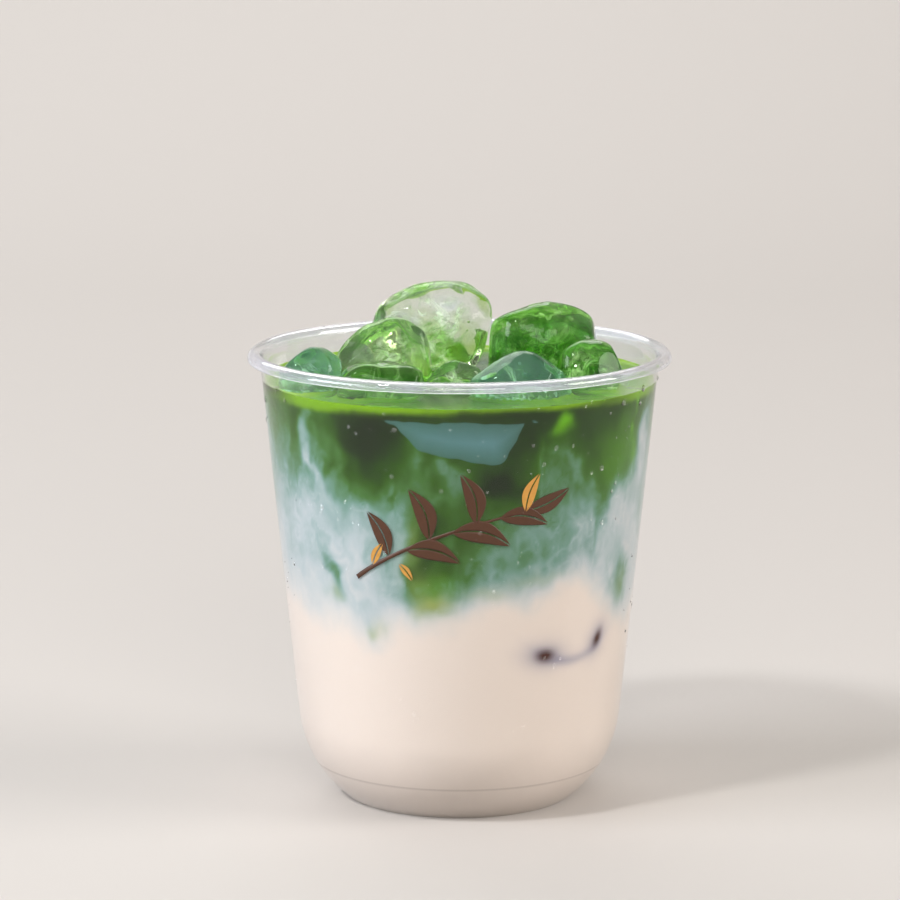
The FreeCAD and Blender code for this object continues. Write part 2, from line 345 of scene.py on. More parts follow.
# an ice face pressed to the wall: corners as (mm along the wall from the front, height)
iceFace = [
    (-15.4, 95.7), (14.4, 95.2), (13.8, 93.0), (12.2, 89.6), (10.4, 87.0), (8.8, 85.8), (6.6, 85.6),
    (0.0, 87.0), (-6.0, 88.2), (-9.4, 89.4), (-11.6, 91.4), (-13.4, 93.6),
]

# painted glow: bright yellow-green where light comes through the thin drink in the curve where it meets the
# wall: degrees, half width in degrees, where it starts in mm
limeEdgeGlow = [
    (-48, 16, 96.0), (-22, 20, 97.0), (0, 26, 98.1), (30, 14, 97.5), (66, 16, 96.6), (140, 30, 97.0),
    (220, 30, 96.8),
]


# 1 in the middle of a tilted soft ellipse on the wall, falling as exp(-distance squared).
def ellipse(arc, height, girth, place, size, tilt=0.0):
    away = (arc - place[0] + girth / 2) % girth - girth / 2
    up = height - place[1]
    c, s = math.cos(math.radians(tilt)), math.sin(math.radians(tilt))
    u, v = away * c + up * s, up * c - away * s
    return np.exp(-((u / size[0]) ** 2 + (v / size[1]) ** 2))


# Distance in mm inside a convex polygon: the least distance to its edges, negative outside.
def insidePolygon(x, y, corners):
    corners = np.array(corners)[::-1]
    least = np.full(np.shape(x), 1e3)
    for here, there in zip(corners, np.roll(corners, -1, axis=0)):
        edge = (there - here) / np.linalg.norm(there - here)
        least = np.minimum(least, edge[0] * (y - here[1]) - edge[1] * (x - here[0]))
    return least


marbleForm = {
    "drift": [(18.0, 1.5), (6.0, 1.5), (2.5, 0.55)],  # size of the noise and how far it moves a place, in mm
    "patchGrowth": 1.12,  # patches are laid a little larger than listed, so that they join
    "patchPull": 1.25,    # and a little stronger, so that their middles are whole
    "smoke": 0.09,
    "thread": 0.05,
    "edge": (6.0, 5.5),   # how far above and below its line the milk fades, in mm
}


# The fields that colour the drink where it meets the wall, for arrays of places. Places are first moved about
# by soft noise, so that every patch takes the shape of smoke.
def marble(angle, radius, height):
    f = marbleForm
    places = onCircle(angle, radius, height)
    girthRadius = drinkForm["wallMean"]
    girth = 2 * math.pi * girthRadius
    bend = [sum(
        size * cloud(places / [scale, scale, scale * 1.3] + 0.5, seed + step, 2)
        for step, (scale, size) in enumerate(f["drift"])
    ) for seed in (3, 23)]
    arc = angle * girthRadius + bend[0]
    high = height + bend[1]
    bent = np.stack([arc / 7.0, high / 9.0, bend[0]], -1)
    smoke = cloud(bent, 37, 3)

    knots = sorted((math.radians(a) % (2 * math.pi), z) for a, z in milkLine)
    line = np.interp((arc / girthRadius) % (2 * math.pi), *zip(*knots), period=2 * math.pi)
    milk = 0.05 + 0.55 * smoothStep(high, 91, 75) + 0.22 * smoothStep(high, 75, 58)
    for degrees, z, halfWidth, halfHeight, tilt, share, strength in patches:
        centre = (math.radians(degrees) * girthRadius, z)
        size = (halfWidth * f["patchGrowth"], halfHeight * f["patchGrowth"])
        blob = strength * ellipse(arc, high, girth, centre, size, tilt)
        milk = milk + (share - milk) * np.clip(f["patchPull"] * blob, 0, 1)

    # loose smoke where the two are half mixed, and a few finer threads
    between = smoothStep(milk, 0.05, 0.35) * (1 - smoothStep(milk, 0.7, 0.95))
    thread = 1 - np.abs(cloud(bent * [0.8, 0.9, 0.6] + 4.0, 91, 2))
    milk = milk + between * (f["smoke"] * smoke + f["thread"] * smoothStep(thread, 0.84, 1.0))
    above, below = f["edge"]
    milk = milk + (1 - milk) * smoothStep(high + 1.2 * smoke, line + above, line - below)
    # no milk in the top 2.4 mm, so the wall turns darkest green there: partly the matcha's own colour, partly
    # painted shade under the bright ring
    milk = milk * smoothStep(height, 98.0, 95.6) ** 0.5

    def total(spots):
        return sum(
            strength * ellipse(arc, high, girth, (math.radians(degrees) * girthRadius, z), (wide, tall))
            for degrees, z, wide, tall, strength in spots
        )

    turned = np.degrees(angle)
    # painted glow: yellow-green at the top of the wall where the drink meets it
    limeGlow = 0
    for degrees, halfWidth, start in limeEdgeGlow:
        away = (turned - degrees + 180) % 360 - 180
        rise = smoothStep(height + 0.3 * smoke, start - 0.5, start + 1.1)
        limeGlow = limeGlow + np.exp(-((away / halfWidth) ** 2)) * rise

    # painted shade of sunk ice: a dark core with a paler grey-lilac painted rim round it
    iceShadeCore, iceShadeRim = 0, 0
    trueArc = angle * girthRadius + 0.25 * bend[0]
    for degrees, z, halfWidth, halfHeight, tilt in sunkIceShade:
        centre = (math.radians(degrees) * girthRadius, z)
        iceShadeCore = iceShadeCore + 1.15 * ellipse(trueArc, height, girth, centre, (halfWidth, halfHeight), tilt)
        iceShadeRim = iceShadeRim + 0.9 * ellipse(trueArc, height, girth, centre, (halfWidth * 2.3, halfHeight * 2.1), tilt)
    # a faint arc of the painted paler rim joins the front two
    bow = ellipse(trueArc, height - 0.025 * (trueArc - 31.0) ** 2, girth, (31.0, 38.4), (9.0, 1.2))
    iceShadeRim = iceShadeRim + 0.7 * bow

    frontArc = (angle * girthRadius + girth / 2) % girth - girth / 2
    x = frontArc + 0.5 * cloud(places / 3.0, 9, 2)
    y = height + 0.35 * cloud(places / [3.0, 3.0, 6.0], 7, 2)
    face = insidePolygon(x, y, iceFace)
    # its thin broken end at the right and its tail at the left
    face = np.maximum(face, 0.5 * (1 - np.hypot((x - 16.6) / 1.3, (y - 95.4) / 0.42)))
    face = np.maximum(face, 0.5 * (1 - np.hypot((x + 15.0) / 1.5, (y - 95.3 + 0.25 * (x + 15.0)) / 0.5)))
    return {
        "milkShare": np.clip(milk, 0, 1),
        "glow": np.clip(total(glows), 0, 1),
        "olive": np.clip(total(olives), 0, 1),
        "limeGlow": np.clip(limeGlow, 0, 1),
        "iceShadeCore": np.clip(iceShadeCore, 0, 1),
        "iceShadeRim": np.clip(iceShadeRim, 0, 1),
        "iceFace": face,
    }


# The same for a grid of points whose columns stand at the given angles.
def marbleOnGrid(angle, points):
    around = np.broadcast_to(angle, points.shape[:2])
    return marble(around, np.linalg.norm(points[..., :2], axis=-1), points[..., 2])


# The CAD's wavy face between milk and matcha. Its angles turn from +X, these from -Y.
def milkHeight(angle, radius):
    turn = angle - math.pi / 2
    swell = sum(h * np.cos(n * (turn - math.radians(crest))) for h, n, crest in drinkForm["waves"])
    return drinkForm["milkLevel"] + swell * np.minimum(1, (2 * radius / cupForm["rim"]) ** 2)


# ice

# centre, top and bottom, length and width in mm; turn, lean about X, lean about Y; squareness; look
iceLumps = {
    "ice_back_left": ((-6.3, 15.4), (118.2, 94.0), (29.6, 20.6), (5.0, 0.0, -8.0), 2.35, "clear"),
    "ice_back_right": ((19.0, 3.6), (115.9, 92.8), (28.6, 17.4), (9.0, 4.0, 7.0), 2.6, "green"),
    "ice_mid_left": ((-17.0, -3.8), (112.4, 91.0), (25.6, 13.6), (8.0, -5.0, -17.0), 2.3, "clear"),
    "ice_left": ((-33.6, -15.2), (107.9, 91.8), (15.4, 12.8), (62.0, 0.0, 14.0), 2.4, "frosty"),
    "ice_front_left": ((-16.6, -23.4), (105.9, 91.8), (20.8, 14.6), (-3.0, -3.0, 2.0), 3.3, "green"),
    "ice_middle": ((-1.2, -14.0), (105.2, 91.0), (13.2, 11.0), (24.0, 5.0, 0.0), 2.6, "clear"),
    "ice_front_right": ((14.4, -24.0), (108.0, 90.6), (24.2, 14.8), (5.0, -4.0, 8.0), 2.2, "frosty"),
    "ice_right": ((29.6, -11.4), (108.9, 92.0), (16.6, 12.8), (-22.0, 0.0, 8.0), 2.4, "green"),
    "ice_rear_left": ((-6.4, 34.0), (104.0, 91.0), (21.6, 12.6), (8.0, 4.0, 3.0), 2.7, "clear"),
    "ice_rear_right": ((22.6, 28.0), (103.6, 91.2), (17.6, 13.6), (-34.0, -4.0, 0.0), 2.5, "frosty"),
}

iceForm = {
    "steps": 34,          # quads along each of the six sides
    "facets": 7,          # melted flats on a lump
    "swell": 0.07,        # uneven melting, as a share of the size
}


def lumpFrame(name):
    (x, y), (top, bottom), (length, width), (turn, leanX, leanY), squareness, _ = iceLumps[name]
    # the CAD's rotation: turn about Z, then lean about Y, then about X
    about = [(0, 0, turn), (0, leanY, 0), (leanX, 0, 0)]
    first, second, third = [Euler([math.radians(a) for a in angles]).to_matrix() for angles in about]
    spin = first @ second @ third
    centre = np.array([x, y, (top + bottom) / 2])
    half = np.array([length, width, top - bottom]) / 2
    return centre, half, np.array(spin), squareness


# Distance from a lump's middle to its skin along unit directions: a rounded box, swollen a little by soft
# noise and cut back by a few soft flats, as a melting cube is.
def lumpRadius(name, way):
    _, half, _, squareness = lumpFrame(name)
    seed = 11 * list(iceLumps).index(name) + 5
    dice = np.random.default_rng(seed)
    radius = (np.abs(way / half) ** squareness).sum(-1) ** (-1 / squareness)
    radius = radius * (0.985 + iceForm["swell"] * cloud(way * 1.2 + seed, seed, 3, 0.42))
    for cut in range(iceForm["facets"]):
        normal = dice.normal(size=3)
        normal /= np.linalg.norm(normal)
        depth = np.linalg.norm(normal * half) * dice.uniform(0.80, 0.95)
        facing = np.maximum(way @ normal, 1e-3)
        flat = depth / facing
        # soft minimum of the two, rounded over about a fifteenth of the size
        soft = 0.045 * half.mean()
        radius = -soft * np.log(np.exp(-radius / soft) + np.exp(-np.minimum(flat, 1e3) / soft) + 1e-300)
    return radius


# Depth in mm below a lump's skin, measured towards its middle; negative outside.
def insideLump(name, places):
    centre, _, spin, _ = lumpFrame(name)
    local = (places - centre) @ spin
    far = np.linalg.norm(local, axis=-1) + 1e-9
    return lumpRadius(name, local / far[..., None]) - far


# Directions and quads of a ball made from the six sides of a cube.
def cubeBall(steps):
    t = np.tan(np.linspace(-1, 1, steps + 1) * math.pi / 4)
    u, v = np.meshgrid(t, t, indexing="ij")
    one = np.ones_like(u)
    sides = [(one, u, v), (-one, v, u), (v, one, u), (u, -one, v), (u, v, one), (v, u, -one)]
    ways = np.concatenate([np.stack(side, -1).reshape(-1, 3) for side in sides])
    ways /= np.linalg.norm(ways, axis=1, keepdims=True)
    rows = steps + 1
    faces = np.concatenate([gridFaces(rows, rows, False, True, i * rows**2) for i in range(6)])
    keys, back = np.unique(np.round(ways, 6), axis=0, return_inverse=True)
    return keys / np.linalg.norm(keys, axis=1, keepdims=True), back.ravel()[faces]


# Points and quads of a lump's skin, in mm.
def lumpSkin(name, steps):
    centre, _, spin, _ = lumpFrame(name)
    ways, faces = cubeBall(steps)
    points = ways * lumpRadius(name, ways)[:, None]
    return points @ spin.T + centre, faces


# materials

# Thermoformed PET: clear, smooth and glossy. Where it's rolled into the lip its many layers look milky, with
# fine white streaks running round; that lilac-white haze is also a painted reflection of light on the lip.
def makeClearPlastic():
    material, tree, output = newMaterial("clear thermoformed PET")
    plastic = addNode(tree, "ShaderNodeBsdfPrincipled", links={
        "Base Color": toLinear("#f7f9fa"), "Roughness": 0.02, "IOR": 1.5, "Specular IOR Level": 0.12,
        "Transmission Weight": 1.0,
    })
    # milky lip plastic, partly a painted reflection of light
    lipHazeAndReflection = addNode(tree, "ShaderNodeBsdfPrincipled", links={
        "Base Color": toLinear("#d3d2e0"), "Roughness": 0.25, "IOR": 1.5,
    })
    place = addNode(tree, "ShaderNodeTexCoord").outputs["Object"]
    parts = addNode(tree, "ShaderNodeSeparateXYZ", links={"Vector": place})
    flat = addNode(tree, "ShaderNodeCombineXYZ", links={"X": parts.outputs["X"], "Y": parts.outputs["Y"]})
    away = addNode(tree, "ShaderNodeVectorMath", {"operation": "LENGTH"}, {0: flat.outputs[0]})
    section = addNode(tree, "ShaderNodeCombineXYZ", links={
        "X": away.outputs["Value"], "Z": parts.outputs["Z"],
    })
    # half a millimetre from streak to streak, and each fades in and out along the rim
    streak = addNode(tree, "ShaderNodeTexNoise", links={
        "Vector": section.outputs[0], "Scale": 1800.0, "Detail": 2.0,
    })
    patch = addNode(tree, "ShaderNodeTexNoise", links={"Vector": place, "Scale": 60.0, "Detail": 2.0})
    both = addNode(tree, "ShaderNodeMath", {"operation": "ADD"}, {
        0: streak.outputs["Fac"], 1: patch.outputs["Fac"],
    })
    cover = addNode(tree, "ShaderNodeMapRange", links={
        "Value": both.outputs[0], "From Min": 0.85, "From Max": 1.25, "To Min": 0.04, "To Max": 0.28,
    })
    # only the lip, the top 3 mm, is hazy, and that haze is partly painted reflection
    top = cupForm["height"]
    lip = addNode(tree, "ShaderNodeMapRange", links={
        "Value": parts.outputs["Z"], "From Min": (top - 3.0) * mm, "From Max": (top - 1.8) * mm,
    })
    amount = addNode(tree, "ShaderNodeMath", {"operation": "MULTIPLY"}, {
        0: cover.outputs[0], 1: lip.outputs[0],
    })
    hazeAndReflection = addNode(tree, "ShaderNodeMixShader", links={
        0: amount.outputs[0], 1: plastic.outputs[0], 2: lipHazeAndReflection.outputs[0],
    })
    passLampLight(tree, output, hazeAndReflection, "#f7f9f9")
    return material


# The share of milk with fine wisps in it, strongest where the two are half mixed.
def wispyShare(tree, place):
    share = addNode(tree, "ShaderNodeAttribute", {"attribute_name": "milkShare"}).outputs["Fac"]
    # wisps 2 to 4 mm long, drawn out a little downwards as the milk sinks
    stretch = addNode(tree, "ShaderNodeMapping", links={"Vector": place, "Scale": (1.0, 1.0, 0.7)})
    wisp = addNode(tree, "ShaderNodeTexNoise", links={
        "Vector": stretch.outputs[0], "Scale": 300.0, "Detail": 3.0, "Roughness": 0.5, "Distortion": 0.7,
    })
    centred = addNode(tree, "ShaderNodeMath", {"operation": "SUBTRACT"}, {0: wisp.outputs["Fac"], 1: 0.5})
    spare = addNode(tree, "ShaderNodeMath", {"operation": "SUBTRACT"}, {0: 1.0, 1: share})
    half = addNode(tree, "ShaderNodeMath", {"operation": "MULTIPLY"}, {0: share, 1: spare.outputs[0]})
    weight = addNode(tree, "ShaderNodeMath", {"operation": "MULTIPLY"}, {0: half.outputs[0], 1: 0.7})
    return addNode(tree, "ShaderNodeMath", {"operation": "MULTIPLY_ADD"}, {
        0: centred.outputs[0], 1: weight.outputs[0], 2: share,
    }).outputs[0]


# The flat ice face against the wall, with a crisp edge about 0.2 mm soft and paler inside.
def layIceFace(tree, colour):
    face = addNode(tree, "ShaderNodeAttribute", {"attribute_name": "iceFace"}).outputs["Fac"]
    edge = addNode(tree, "ShaderNodeMapRange", links={
        "Value": face, "From Min": 0.0, "From Max": 0.18, "To Max": 0.92,
    })
    inner = addNode(tree, "ShaderNodeMapRange", links={"Value": face, "From Min": 0.0, "From Max": 4.5})
    tint = layOver(tree, inner.outputs[0], toLinear("#40675c"), toLinear("#5a8486"))
    return layOver(tree, edge.outputs[0], colour, tint)


# The moulded ring round the cup's foot shows as a thin shade line on the milk.
def layRingShade(tree, place, colour):
    parts = addNode(tree, "ShaderNodeSeparateXYZ", links={"Vector": place})
    offset = addNode(tree, "ShaderNodeMath", {"operation": "SUBTRACT"}, {
        0: parts.outputs["Z"], 1: cupForm["mouldLine"] * mm,
    })
    away = addNode(tree, "ShaderNodeMath", {"operation": "ABSOLUTE"}, {0: offset.outputs[0]})
    shade = addNode(tree, "ShaderNodeMapRange", links={
        "Value": away.outputs[0], "From Min": 0.0001, "From Max": 0.0004, "To Min": 0.38, "To Max": 0.0,
    })
    return layOver(tree, shade.outputs[0], colour, toLinear("#8f8078"))


# Milk and matcha mixing behind the wall: smooth liquid, dark green to grey-blue veils to cream.
def makeLatteSide():
    material, tree, output = newMaterial("matcha clouding into milk")
    place = addNode(tree, "ShaderNodeTexCoord").outputs["Object"]
    ramp = addNode(tree, "ShaderNodeValToRGB", links={"Fac": wispyShare(tree, place)})
    paintRamp(ramp.color_ramp, [
        (0.00, "#0b1e00"), (0.07, "#1a3a00"), (0.13, "#254a02"), (0.22, "#2f570c"), (0.34, "#406a2e"),
        (0.46, "#577e5f"), (0.57, "#6f9084"), (0.69, "#8fa2a0"), (0.81, "#abb3b5"), (0.91, "#c0bfbd"),
        (1.00, "#d2c6bd"),
    ])
    colour = ramp.outputs["Color"]
    # olive is the drink's own colour; the rest are painted: glow and yellow-green glow of light through
    # green, and the shade of sunk ice with its paler rim
    for attribute, hexText, gain in (
        ("olive", "#8c9750", 1.0), ("glow", "#62a400", 1.0), ("limeGlow", "#6e9a06", 1.0),
        ("iceShadeRim", "#8a8799", 0.8), ("iceShadeCore", "#431a06", 1.0),
    ):
        field = addNode(tree, "ShaderNodeAttribute", {"attribute_name": attribute})
        amount = addNode(tree, "ShaderNodeMath", {"operation": "MULTIPLY", "use_clamp": True}, {
            0: field.outputs["Fac"], 1: gain,
        })
        colour = layOver(tree, amount.outputs[0], colour, toLinear(hexText))
    colour = layRingShade(tree, place, layIceFace(tree, colour))
    liquid = addNode(tree, "ShaderNodeBsdfPrincipled", links={
        "Base Color": colour, "Roughness": 0.5, "IOR": 1.34, "Specular IOR Level": 0.0,
    })
    tree.links.new(liquid.outputs[0], output.inputs["Surface"])
    return material


# The matcha's surface: wet, deep green between the ice, with painted glow: yellow-green where it thins at the
# wall and lighter beside the ice.
def makeDrinkTop():
    material, tree, output = newMaterial("matcha surface")
    place = addNode(tree, "ShaderNodeTexCoord").outputs["Object"]
    # thin: painted glow, lighter where the drink thins at the wall and beside the ice
    thin = addNode(tree, "ShaderNodeAttribute", {"attribute_name": "thin"})
    swirl = addNode(tree, "ShaderNodeTexNoise", links={
        "Vector": place, "Scale": 120.0, "Detail": 5.0, "Roughness": 0.55, "Distortion": 1.6,
    })
    centred = addNode(tree, "ShaderNodeMath", {"operation": "MULTIPLY_ADD"}, {
        0: swirl.outputs["Fac"], 1: 0.5, 2: -0.25,
    })
    varied = addNode(tree, "ShaderNodeMath", {"operation": "ADD", "use_clamp": True}, {
        0: thin.outputs["Fac"], 1: centred.outputs[0],
    })
    ramp = addNode(tree, "ShaderNodeValToRGB", links={"Fac": varied.outputs[0]})
    paintRamp(ramp.color_ramp, [
        (0.00, "#23500a"), (0.25, "#3f7a12"), (0.5, "#619818"), (0.75, "#6f9c18"), (1.00, "#84a636"),
    ])
    liquid = addNode(tree, "ShaderNodeBsdfPrincipled", links={
        "Base Color": ramp.outputs["Color"], "Roughness": 0.15, "IOR": 1.34, "Specular IOR Level": 0.25,
    })
    tree.links.new(liquid.outputs[0], output.inputs["Surface"])
    return material


# Matcha and milk seen through the ice that floats in it: patches of green, dark and milky.
def makeHollow():
    material, tree, output = newMaterial("matcha round the ice")
    place = addNode(tree, "ShaderNodeTexCoord").outputs["Object"]
    patch = addNode(tree, "ShaderNodeTexNoise", links={
        "Vector": place, "Scale": 170.0, "Detail": 4.0, "Roughness": 0.6, "Distortion": 2.0,
    })
    ramp = addNode(tree, "ShaderNodeValToRGB", links={"Fac": patch.outputs["Fac"]})
    paintRamp(ramp.color_ramp, [
        (0.28, "#1d4a0a"), (0.38, "#3d7a12"), (0.46, "#6fae26"), (0.53, "#a3d070"), (0.60, "#d3e6cb"),
        (0.70, "#edf3ea"),
    ])
    liquid = addNode(tree, "ShaderNodeBsdfPrincipled", links={
        "Base Color": ramp.outputs["Color"], "Roughness": 0.4, "IOR": 1.34,
    })
    tree.links.new(liquid.outputs[0], output.inputs["Surface"])
    return material


# Wet melting ice: glassy skin with very slight ripples, tinted by the matcha it has taken up. What clearness
# leaves over is milky.
def makeIceMaterial(look, tint, stain, roughness, ior, clearness):
    material, tree, output = newMaterial("wet ice " + look)
    place = addNode(tree, "ShaderNodeTexCoord").outputs["Object"]
    ripple = addNode(tree, "ShaderNodeTexNoise", links={
        "Vector": place, "Scale": 150.0, "Detail": 3.0, "Roughness": 0.5,
    })
    bump = addNode(tree, "ShaderNodeBump", links={
        "Height": ripple.outputs["Fac"], "Strength": 0.35, "Distance": 0.0008,
    })
    film = addNode(tree, "ShaderNodeAttribute", {"attribute_name": "film"})
    colour = layOver(tree, film.outputs["Fac"], toLinear(tint), toLinear(stain))
    ice = addNode(tree, "ShaderNodeBsdfPrincipled", links={
        "Base Color": colour, "Roughness": roughness, "IOR": ior, "Transmission Weight": clearness,
        "Normal": bump.outputs[0],
    })
    passLampLight(tree, output, ice, "#d8e8cf")
    return material


# Cloudy sheets of trapped air in the ice: milky wisps with clear gaps, green where matcha has run into a
# crack.
def makeFrost():
    material, tree, output = newMaterial("frost inside ice")
    place = addNode(tree, "ShaderNodeTexCoord").outputs["Object"]
    wisp = addNode(tree, "ShaderNodeTexNoise", links={
        "Vector": place, "Scale": 240.0, "Detail": 5.0, "Roughness": 0.6, "Distortion": 1.6,
    })
    cover = addNode(tree, "ShaderNodeMapRange", links={
        "Value": wisp.outputs["Fac"], "From Min": 0.46, "From Max": 0.66, "To Min": 0.0, "To Max": 0.85,
    })
    fade = addNode(tree, "ShaderNodeAttribute", {"attribute_name": "fade"})
    amount = addNode(tree, "ShaderNodeMath", {"operation": "MULTIPLY"}, {
        0: cover.outputs[0], 1: fade.outputs["Fac"],
    })
    crack = addNode(tree, "ShaderNodeTexNoise", links={
        "Vector": place, "Scale": 130.0, "Detail": 3.0, "Distortion": 1.0,
    })
    ramp = addNode(tree, "ShaderNodeValToRGB", links={"Fac": crack.outputs["Fac"]})
    paintRamp(ramp.color_ramp, [(0.34, "#3f7f22"), (0.42, "#84b957"), (0.49, "#c3dfb2"), (0.57, "#eff6ee")])
    milky = addNode(tree, "ShaderNodeBsdfPrincipled", links={
        "Base Color": ramp.outputs["Color"], "Roughness": 0.6,
    })
    clear = addNode(tree, "ShaderNodeBsdfTransparent")
    mix = addNode(tree, "ShaderNodeMixShader", links={
        0: amount.outputs[0], 1: clear.outputs[0], 2: milky.outputs[0],
    })
    tree.links.new(mix.outputs[0], output.inputs["Surface"])
    return material


# Condensed water: clear and smooth. It sits on plastic, so it bends light less than in air.
def makeWater():
    material, tree, output = newMaterial("condensed water")
    water = addNode(tree, "ShaderNodeBsdfPrincipled", links={
        "Base Color": toLinear("#ffffff"), "Roughness": 0.0, "IOR": 1.24, "Transmission Weight": 1.0,
        "Coat Weight": 1.0, "Coat Roughness": 0.02,
    })
    passLampLight(tree, output, water, "#f4f4f4")
    return material


# Screen-printed ink: flat, opaque, slightly uneven film with a soft sheen.
def makeInk(name, hexText):
    material, tree, output = newMaterial(name)
    place = addNode(tree, "ShaderNodeTexCoord").outputs["Object"]
    grain = addNode(tree, "ShaderNodeTexNoise", links={"Vector": place, "Scale": 900.0, "Detail": 3.0})
    shade = addNode(tree, "ShaderNodeMapRange", links={
        "Value": grain.outputs["Fac"], "From Min": 0.3, "From Max": 0.7, "To Min": 0.92, "To Max": 1.06,
    })
    colour = addNode(tree, "ShaderNodeMix", {"data_type": "RGBA", "blend_type": "MULTIPLY"}, {
        "Factor": 1.0, 6: toLinear(hexText), 7: shade.outputs[0],
    })
    ink = addNode(tree, "ShaderNodeBsdfPrincipled", links={
        "Base Color": colour.outputs[2], "Roughness": 0.38, "IOR": 1.5,
    })
    tree.links.new(ink.outputs[0], output.inputs["Surface"])
    return material


# Matt painted board: an even ground that lets the drink stand out.
def makeStageMaterial(hexText):
    material, tree, output = newMaterial("pale stage")
    paint = addNode(tree, "ShaderNodeBsdfPrincipled", links={
        "Base Color": toLinear(hexText), "Roughness": 0.8,
    })
    tree.links.new(paint.outputs[0], output.inputs["Surface"])
    return material


# build: drink

latteSide = makeLatteSide()
drinkTop = makeDrinkTop()
hollow = makeHollow()


# The milk: the cup's own section up to the wavy face, then that face back to the axis.
def buildMilk():
    columns = drinkForm["columns"]
    angle = np.arange(columns) / columns * 2 * math.pi
    r, z, s = wallProfile(drinkForm["inWall"], 0.25)
    sideHeight = milkHeight(angle, wallRadius(drinkForm["milkLevel"]))
    # the dome's heights come again on the wall, so only the last two thirds are looked up
    reach = np.interp(sideHeight, z[len(z) // 3:], s[len(z) // 3:])
    t = np.linspace(0, 1, 112)[:, None]
    along = t * reach[None, :]
    radius, height = np.interp(along, s, r), np.interp(along, s, z)
    side = onCircle(np.broadcast_to(angle, radius.shape), radius, height)
    inwards = radius[-1] * np.linspace(0.96, 0, 14)[:, None]
    around = np.broadcast_to(angle, inwards.shape)
    top = onCircle(around, inwards, milkHeight(around, inwards))
    points = np.concatenate([side, top])
    fields = marbleOnGrid(angle, points)
    faces = gridFaces(points.shape[0], columns, True)
    values = {key: field.ravel() for key, field in fields.items()}
    piece = addPiece("milkBody", points.reshape(-1, 3), faces, [latteSide], values)
    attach(piece, "root")
    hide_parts("milk")


surfaceForm = {
    "wallCurve": 0.8,     # mm over which the creep up the wall dies away
    "iceRise": 0.75,
    "iceCurve": 0.7,
    "ripple": 0.10,
    "turnAt": 0.25,       # mm inside a lump's outline where the surface turns down
    "turnDown": 2.5,
    "stop": 1.2,          # mm inside where it ends
}


# The wavy face on the milk from the axis outwards, then the side up to where it creeps up the wall.
def matchaSide(angle):
    low = milkHeight(angle, wallRadius(drinkForm["milkLevel"]))
    t = np.linspace(0, 1, 92)[:, None]
    height = low + t * (drinkForm["level"] + drinkForm["creep"] - low)
    radius = wallRadius(height, drinkForm["inWall"])
    inwards = radius[0] * np.linspace(0, 0.96, 10)[:, None]
    around = np.broadcast_to(angle, inwards.shape)
    under = onCircle(around, inwards, milkHeight(around, inwards))
    return np.concatenate([under, onCircle(np.broadcast_to(angle, height.shape), radius, height)])


# Depth in mm inside the nearest lump, negative outside them all.
def insideIce(places):
    return np.max([insideLump(name, places) for name in iceLumps], axis=0)


# Rings close together at the wall. The surface curves up there and round each lump. Inside a lump's outline
# it turns down along the hollow's side. Gives its points, its painted glow by the wall and the ice, and which
# points stay.
def matchaSurface(angle, outer):
    f = surfaceForm
    steps = np.concatenate([np.linspace(0, 3, 10)[:-1], np.linspace(3, outer, 58)])
    around = np.broadcast_to(angle, (len(steps), len(angle)))
    lift = drinkForm["creep"] * np.exp(-steps / f["wallCurve"])[:, None]
    top = onCircle(around, (outer - steps)[:, None], drinkForm["level"] + lift)
    depth = np.minimum(insideIce(top), 0)
    top[..., 2] += f["iceRise"] * np.exp(depth / f["iceCurve"]) + f["ripple"] * cloud(top / 9.0, 61, 2)
    inner = insideIce(top)
    top[..., 2] -= f["turnDown"] * np.maximum(inner - f["turnAt"], 0)
    # painted glow: strongest at the wall, some beside each lump
    thinGlow = np.exp(-(steps / 9.0) ** 2)[:, None] * 0.72 + 0.25 * np.exp(depth / 1.6)
    thinGlow = thinGlow + 0.3 * np.exp(-((steps / 1.2) ** 2))[:, None]
    return top, thinGlow, inner < f["stop"]


# The hollow that a lump sits in: the lower skin of the lump, a little smaller, seen from inside.
def hollowRound(name):
    skin, quads = lumpSkin(name, drinkForm["hollowSteps"])
    centre = lumpFrame(name)[0]
    skin = centre + (skin - centre) * 0.985
    level = drinkForm["level"]
    below = (skin[:, 2] < level + 0.75)[quads].any(axis=1) & (skin[:, 2] < level + 1.6)[quads].all(axis=1)
    return skin, quads[below][:, ::-1]


def dropLoosePoints(work):
    bmesh.ops.delete(work, geom=[v for v in work.verts if not v.link_faces], context="VERTS")


# The matcha: its side, its surface and a hollow round each lump of ice, as one piece.
def buildMatcha():
    columns = drinkForm["columns"]
    angle = np.arange(columns) / columns * 2 * math.pi
    side = matchaSide(angle)
    fields = marbleOnGrid(angle, side)
    outer = np.linalg.norm(side[-1, :, :2], axis=-1).mean()
    top, thinGlow, keep = matchaSurface(angle, outer)
    start = len(side) * columns
    topFaces = gridFaces(len(top), columns, True)
    topFaces = topFaces[keep.ravel()[topFaces].all(axis=1)] + start

    points = [side.reshape(-1, 3), top.reshape(-1, 3)]
    faces = [gridFaces(len(side), columns, True), topFaces]
    kinds = [0, 1]
    count = start + len(top) * columns
    for name in iceLumps:
        skin, quads = hollowRound(name)
        points.append(skin)
        faces.append(quads + count)
        kinds.append(2)
        count += len(skin)
    values = {key: np.zeros(count) for key in [*fields, "thin"]}
    for key, field in fields.items():
        values[key][:start] = field.ravel()
    values["iceFace"][start:] = -10
    values["thin"][start:start + thinGlow.size] = thinGlow.ravel()
    piece = addPiece(
        "matchaBody", np.concatenate(points), np.concatenate(faces), [latteSide, drinkTop, hollow], values,
        np.concatenate([np.full(len(f), kind) for f, kind in zip(faces, kinds)]),
    )
    editMesh(piece.data, dropLoosePoints)
    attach(piece, "root")
    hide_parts("matcha")


buildMilk()
buildMatcha()
print("drink built")


# build: ice

